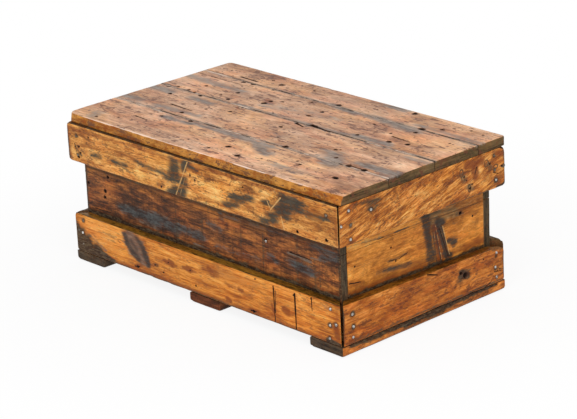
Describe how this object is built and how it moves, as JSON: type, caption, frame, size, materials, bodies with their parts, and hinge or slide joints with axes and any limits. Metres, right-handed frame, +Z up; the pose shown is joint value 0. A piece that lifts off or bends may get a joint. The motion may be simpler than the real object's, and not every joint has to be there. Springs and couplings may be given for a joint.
{
  "type": "tool chest",
  "caption": "Low plank tool chest on skids, bound by mitred battens at top and foot, with a flat plank lid that swings on butt hinges at the back.",
  "frame": {"origin": "on the ground under the middle of the box, on the middle skid's underside", "axes": "+X along the length towards the right end, -Y towards the front, +Z up"},
  "size_m": [0.8036, 0.4724, 0.3246],
  "materials": {
    "band_pine": "worn satin varnish over stained orange pine",
    "lid_pine": "satin varnish over weathered pine with grey streaks",
    "front_wall_pine": "satin varnish over dark, slate-stained pine",
    "wall_pine": "satin varnish over orange pine",
    "inside_pine": "bare, dusty pine",
    "skid_wood": "rough, dark and dirty",
    "nail_steel": "worn bright heads",
    "hinge_steel": "dull, oxidised"
  },
  "bodies": {
    "chest": {"front_wall_lower_board": "front_wall_pine", "front_wall_upper_board": "front_wall_pine", "back_wall_lower_board": "wall_pine", "back_wall_upper_board": "wall_pine", "left_end_lower_board": "wall_pine", "left_end_upper_board": "wall_pine", "right_end_lower_board": "wall_pine", "right_end_upper_board": "wall_pine", "floor_board_1": "inside_pine", "floor_board_2": "inside_pine", "floor_board_3": "inside_pine", "floor_board_4": "inside_pine", "skid_left": "skid_wood", "skid_middle": "skid_wood", "skid_right": "skid_wood", "upper_band_front": "band_pine", "upper_band_right": "band_pine", "upper_band_back": "band_pine", "upper_band_left": "band_pine", "lower_band_front": "band_pine", "lower_band_right": "band_pine", "lower_band_back": "band_pine", "lower_band_left": "band_pine", "upper_band_front_nail_left": "nail_steel", "upper_band_front_nail_right": "nail_steel", "upper_band_right_nail_front": "nail_steel", "upper_band_right_nail_back": "nail_steel", "upper_band_back_nail_left": "nail_steel", "upper_band_back_nail_right": "nail_steel", "upper_band_left_nail_front": "nail_steel", "upper_band_left_nail_back": "nail_steel", "lower_band_front_nail_left": "nail_steel", "lower_band_front_nail_right": "nail_steel", "lower_band_right_nail_front": "nail_steel", "lower_band_right_nail_back": "nail_steel", "lower_band_back_nail_left": "nail_steel", "lower_band_back_nail_right": "nail_steel", "lower_band_left_nail_front": "nail_steel", "lower_band_left_nail_back": "nail_steel", "hinge_left_box_leaf": "hinge_steel", "hinge_left_pin": "hinge_steel", "hinge_left_box_screw_1": "hinge_steel", "hinge_left_box_screw_2": "hinge_steel", "hinge_right_box_leaf": "hinge_steel", "hinge_right_pin": "hinge_steel", "hinge_right_box_screw_1": "hinge_steel", "hinge_right_box_screw_2": "hinge_steel"},
    "lid": {"lid_board_back": "lid_pine", "lid_board_rear_middle": "lid_pine", "lid_board_front_middle": "lid_pine", "lid_board_front": "lid_pine", "lid_cleat_left": "inside_pine", "lid_cleat_middle": "inside_pine", "lid_cleat_right": "inside_pine", "hinge_left_lid_leaf": "hinge_steel", "hinge_left_lid_screw_1": "hinge_steel", "hinge_left_lid_screw_2": "hinge_steel", "hinge_right_lid_leaf": "hinge_steel", "hinge_right_lid_screw_1": "hinge_steel", "hinge_right_lid_screw_2": "hinge_steel"}
  },
  "joints": [
    {"name": "lid_hinge", "type": "hinge", "parent": "chest", "child": "lid", "pos_m": [0, 0.2356, 0.30445], "axis": [-1, 0, 0], "range_deg": [0, 180]}
  ]
}
